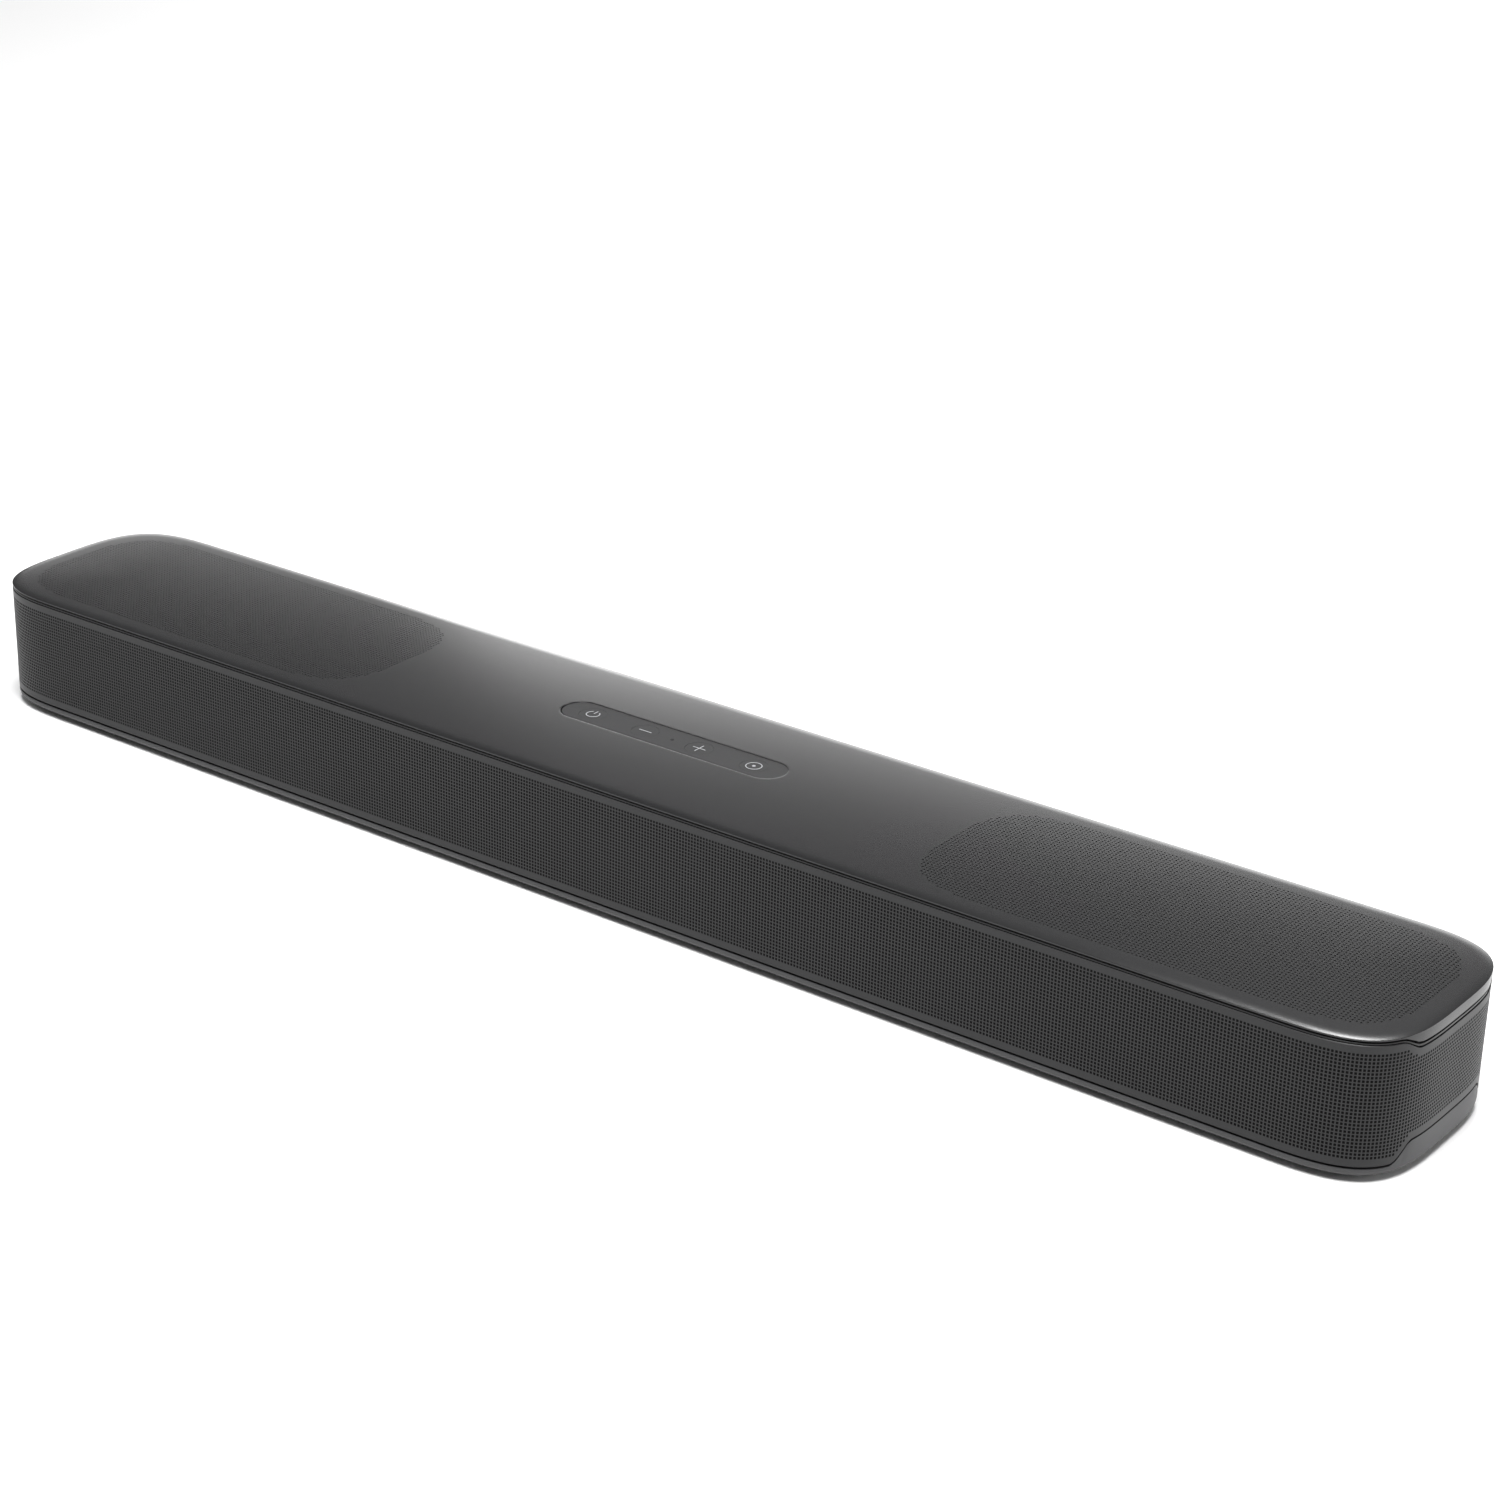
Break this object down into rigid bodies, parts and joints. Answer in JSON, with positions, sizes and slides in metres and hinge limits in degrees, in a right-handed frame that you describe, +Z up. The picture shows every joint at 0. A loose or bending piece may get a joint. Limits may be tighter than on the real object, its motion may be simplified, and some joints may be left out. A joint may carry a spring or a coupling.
{
  "type": "soundbar",
  "caption": "Low, long soundbar with rounded ends, a perforated wrap-round grille, a crowned cover with a recessed key strip, and a bay of sockets at the back.",
  "frame": {"origin": "centre of the footprint, on the surface the feet stand on", "axes": "+X to the right seen from the front, -Y the front, +Z up"},
  "size_m": [0.709, 0.101, 0.058],
  "materials": {
    "case_plastic": "fine-textured moulded ABS, dark grey",
    "cover_plastic": "satin-painted cover, dark grey",
    "grille_steel": "perforated steel, powder coated dark grey",
    "acoustic_cloth": "thin black acoustic cloth",
    "trim_plastic": "dark polished trim",
    "inner_plastic": "black moulded ABS",
    "foot_rubber": "matt black rubber",
    "key_rubber": "satin silicone key mat, dark grey",
    "light_pipe": "smoked clear light pipe",
    "brass": "turned brass",
    "circuit_board": "green solder mask on glass fibre",
    "basket_steel": "black pressed steel",
    "surround_rubber": "moulded butyl rubber",
    "cone_pulp": "coated pulp cone",
    "socket_shell": "nickel-plated stamped shell",
    "sink_aluminium": "extruded aluminium",
    "winding_copper": "enamelled winding in a taped core"
  },
  "bodies": {
    "casing": {"bottom_case": "case_plastic", "top_cover": "cover_plastic", "front_grille": "grille_steel", "grille_cloth": "acoustic_cloth", "trim_strip": "trim_plastic", "speaker_baffle": "inner_plastic", "rear_wall": "case_plastic", "foot_front_left": "foot_rubber", "foot_front_right": "foot_rubber", "foot_rear_left": "foot_rubber", "foot_rear_right": "foot_rubber", "wall_insert_left": "brass", "wall_insert_right": "brass", "keypad_strip": "key_rubber", "status_light": "light_pipe", "key_board": "circuit_board", "right_chamber": "inner_plastic", "left_chamber": "inner_plastic", "connector_bay": "inner_plastic", "usb_jack": "socket_shell", "ethernet_jack": "socket_shell", "optical_jack": "inner_plastic", "hdmi_jack_second": "socket_shell", "hdmi_jack_main": "socket_shell", "mains_inlet": "inner_plastic", "main_board": "circuit_board", "power_board": "circuit_board", "heatsink": "sink_aluminium", "transformer": "winding_copper", "centre_driver_basket": "basket_steel", "centre_driver_surround": "surround_rubber", "left_driver_basket": "basket_steel", "left_driver_surround": "surround_rubber", "right_driver_basket": "basket_steel", "right_driver_surround": "surround_rubber", "left_end_driver_basket": "basket_steel", "left_end_driver_surround": "surround_rubber", "right_end_driver_basket": "basket_steel", "right_end_driver_surround": "surround_rubber", "left_inner_radiator_frame": "inner_plastic", "left_inner_radiator_surround": "surround_rubber", "left_outer_radiator_frame": "inner_plastic", "left_outer_radiator_surround": "surround_rubber", "right_inner_radiator_frame": "inner_plastic", "right_inner_radiator_surround": "surround_rubber", "right_outer_radiator_frame": "inner_plastic", "right_outer_radiator_surround": "surround_rubber"},
    "key_power_body": {"key_power": "key_rubber"},
    "key_volume_down_body": {"key_volume_down": "key_rubber"},
    "key_volume_up_body": {"key_volume_up": "key_rubber"},
    "key_source_body": {"key_source": "key_rubber"},
    "centre_driver_cone_body": {"centre_driver_cone": "cone_pulp"},
    "left_driver_cone_body": {"left_driver_cone": "cone_pulp"},
    "right_driver_cone_body": {"right_driver_cone": "cone_pulp"},
    "left_end_driver_cone_body": {"left_end_driver_cone": "cone_pulp"},
    "right_end_driver_cone_body": {"right_end_driver_cone": "cone_pulp"},
    "left_inner_radiator_plate_body": {"left_inner_radiator_plate": "basket_steel"},
    "left_outer_radiator_plate_body": {"left_outer_radiator_plate": "basket_steel"},
    "right_inner_radiator_plate_body": {"right_inner_radiator_plate": "basket_steel"},
    "right_outer_radiator_plate_body": {"right_outer_radiator_plate": "basket_steel"}
  },
  "joints": [
    {"name": "key_power_press", "type": "slide", "parent": "casing", "child": "key_power_body", "axis": [0, 0, 1], "range_m": [-0.0005, 0], "stiffness_N_per_m": 2500},
    {"name": "key_volume_down_press", "type": "slide", "parent": "casing", "child": "key_volume_down_body", "axis": [0, 0, 1], "range_m": [-0.0005, 0], "stiffness_N_per_m": 2500},
    {"name": "key_volume_up_press", "type": "slide", "parent": "casing", "child": "key_volume_up_body", "axis": [0, 0, 1], "range_m": [-0.0005, 0], "stiffness_N_per_m": 2500},
    {"name": "key_source_press", "type": "slide", "parent": "casing", "child": "key_source_body", "axis": [0, 0, 1], "range_m": [-0.0005, 0], "stiffness_N_per_m": 2500},
    {"name": "centre_driver_stroke", "type": "slide", "parent": "casing", "child": "centre_driver_cone_body", "axis": [0, -1, 0], "range_m": [-0.002, 0.002], "stiffness_N_per_m": 1700},
    {"name": "left_driver_stroke", "type": "slide", "parent": "casing", "child": "left_driver_cone_body", "axis": [0, -1, 0], "range_m": [-0.002, 0.002], "stiffness_N_per_m": 1700},
    {"name": "right_driver_stroke", "type": "slide", "parent": "casing", "child": "right_driver_cone_body", "axis": [0, -1, 0], "range_m": [-0.002, 0.002], "stiffness_N_per_m": 1700},
    {"name": "left_end_driver_stroke", "type": "slide", "parent": "casing", "child": "left_end_driver_cone_body", "axis": [-1, 0, 0], "range_m": [-0.002, 0.002], "stiffness_N_per_m": 1700},
    {"name": "right_end_driver_stroke", "type": "slide", "parent": "casing", "child": "right_end_driver_cone_body", "axis": [1, 0, 0], "range_m": [-0.002, 0.002], "stiffness_N_per_m": 1700},
    {"name": "left_inner_radiator_stroke", "type": "slide", "parent": "casing", "child": "left_inner_radiator_plate_body", "axis": [0, 0, 1], "range_m": [-0.003, 0.003], "stiffness_N_per_m": 3000},
    {"name": "left_outer_radiator_stroke", "type": "slide", "parent": "casing", "child": "left_outer_radiator_plate_body", "axis": [0, 0, 1], "range_m": [-0.003, 0.003], "stiffness_N_per_m": 3000},
    {"name": "right_inner_radiator_stroke", "type": "slide", "parent": "casing", "child": "right_inner_radiator_plate_body", "axis": [0, 0, 1], "range_m": [-0.003, 0.003], "stiffness_N_per_m": 3000},
    {"name": "right_outer_radiator_stroke", "type": "slide", "parent": "casing", "child": "right_outer_radiator_plate_body", "axis": [0, 0, 1], "range_m": [-0.003, 0.003], "stiffness_N_per_m": 3000}
  ]
}
